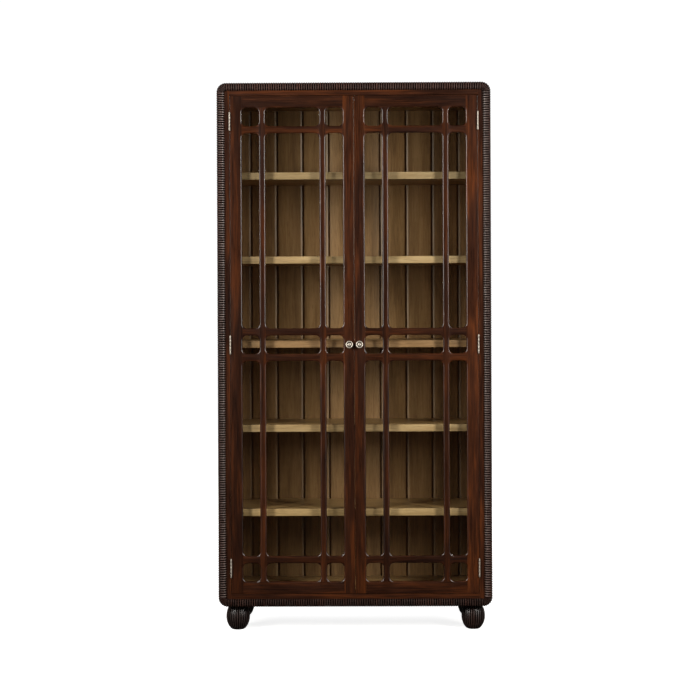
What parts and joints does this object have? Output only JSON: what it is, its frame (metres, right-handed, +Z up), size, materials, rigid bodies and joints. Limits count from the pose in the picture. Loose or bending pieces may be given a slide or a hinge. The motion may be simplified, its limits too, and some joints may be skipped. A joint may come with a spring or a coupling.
{
  "type": "china cabinet",
  "caption": "Tall display cabinet with a pair of fretted glass doors, a reeded moulding round the front, thick shelves, a boarded back and turned reeded feet.",
  "frame": {"origin": "on the floor, under the middle of the whole cabinet's box", "axes": "+Z up, front with the doors towards -Y, +X to the right seen from the front"},
  "size_m": [1.05, 0.424, 2.102],
  "materials": {
    "mahogany": "dark red-brown stained mahogany, satin lacquer",
    "golden_wood": "golden brown wood, satin lacquer",
    "glass": "clear, polished",
    "nickel": "warm satin nickel"
  },
  "bodies": {
    "cabinet": {"left_side_panel": "mahogany", "right_side_panel": "mahogany", "top_panel": "mahogany", "bottom_panel": "mahogany", "ceiling_panel": "golden_wood", "floor_panel": "golden_wood", "reeded_moulding_top": "mahogany", "reeded_moulding_bottom": "mahogany", "reeded_moulding_left": "mahogany", "reeded_moulding_right": "mahogany", "face_frame_left_stile": "mahogany", "face_frame_right_stile": "mahogany", "face_frame_top_rail": "mahogany", "face_frame_bottom_rail": "mahogany", "back_board_1": "golden_wood", "back_board_2": "golden_wood", "back_board_3": "golden_wood", "back_board_4": "golden_wood", "back_board_5": "golden_wood", "back_board_6": "golden_wood", "back_board_7": "golden_wood", "back_board_8": "golden_wood", "back_board_9": "golden_wood", "back_board_10": "golden_wood", "shelf_1": "golden_wood", "shelf_2": "golden_wood", "shelf_3": "golden_wood", "shelf_4": "golden_wood", "shelf_5": "golden_wood", "shelf_support_pins": "nickel", "foot_front_left": "mahogany", "foot_front_right": "mahogany", "foot_back_left": "mahogany", "foot_back_right": "mahogany", "frame_hinge_leaves": "nickel", "frame_hinge_screws": "nickel", "hinge_pins": "nickel", "door_catches": "nickel"},
    "left_door": {"left_door_hinge_stile": "mahogany", "left_door_meeting_stile": "mahogany", "left_door_top_rail": "mahogany", "left_door_bottom_rail": "mahogany", "left_door_upright_bars": "mahogany", "left_door_level_bars": "mahogany", "left_door_glass": "glass", "left_door_glazing_beads": "mahogany", "left_door_knob": "nickel", "left_door_hinge_leaves": "nickel", "left_door_hinge_screws": "nickel"},
    "right_door": {"right_door_hinge_stile": "mahogany", "right_door_meeting_stile": "mahogany", "right_door_top_rail": "mahogany", "right_door_bottom_rail": "mahogany", "right_door_upright_bars": "mahogany", "right_door_level_bars": "mahogany", "right_door_glass": "glass", "right_door_glazing_beads": "mahogany", "right_door_knob": "nickel", "right_door_hinge_leaves": "nickel", "right_door_hinge_screws": "nickel"}
  },
  "joints": [
    {"name": "left_door_hinge", "type": "hinge", "parent": "cabinet", "child": "left_door", "pos_m": [-0.47525, -0.193, 1.098], "axis": [0, 0, -1], "range_deg": [0, 165]},
    {"name": "right_door_hinge", "type": "hinge", "parent": "cabinet", "child": "right_door", "pos_m": [0.47525, -0.193, 1.098], "axis": [0, 0, 1], "range_deg": [0, 165]}
  ]
}
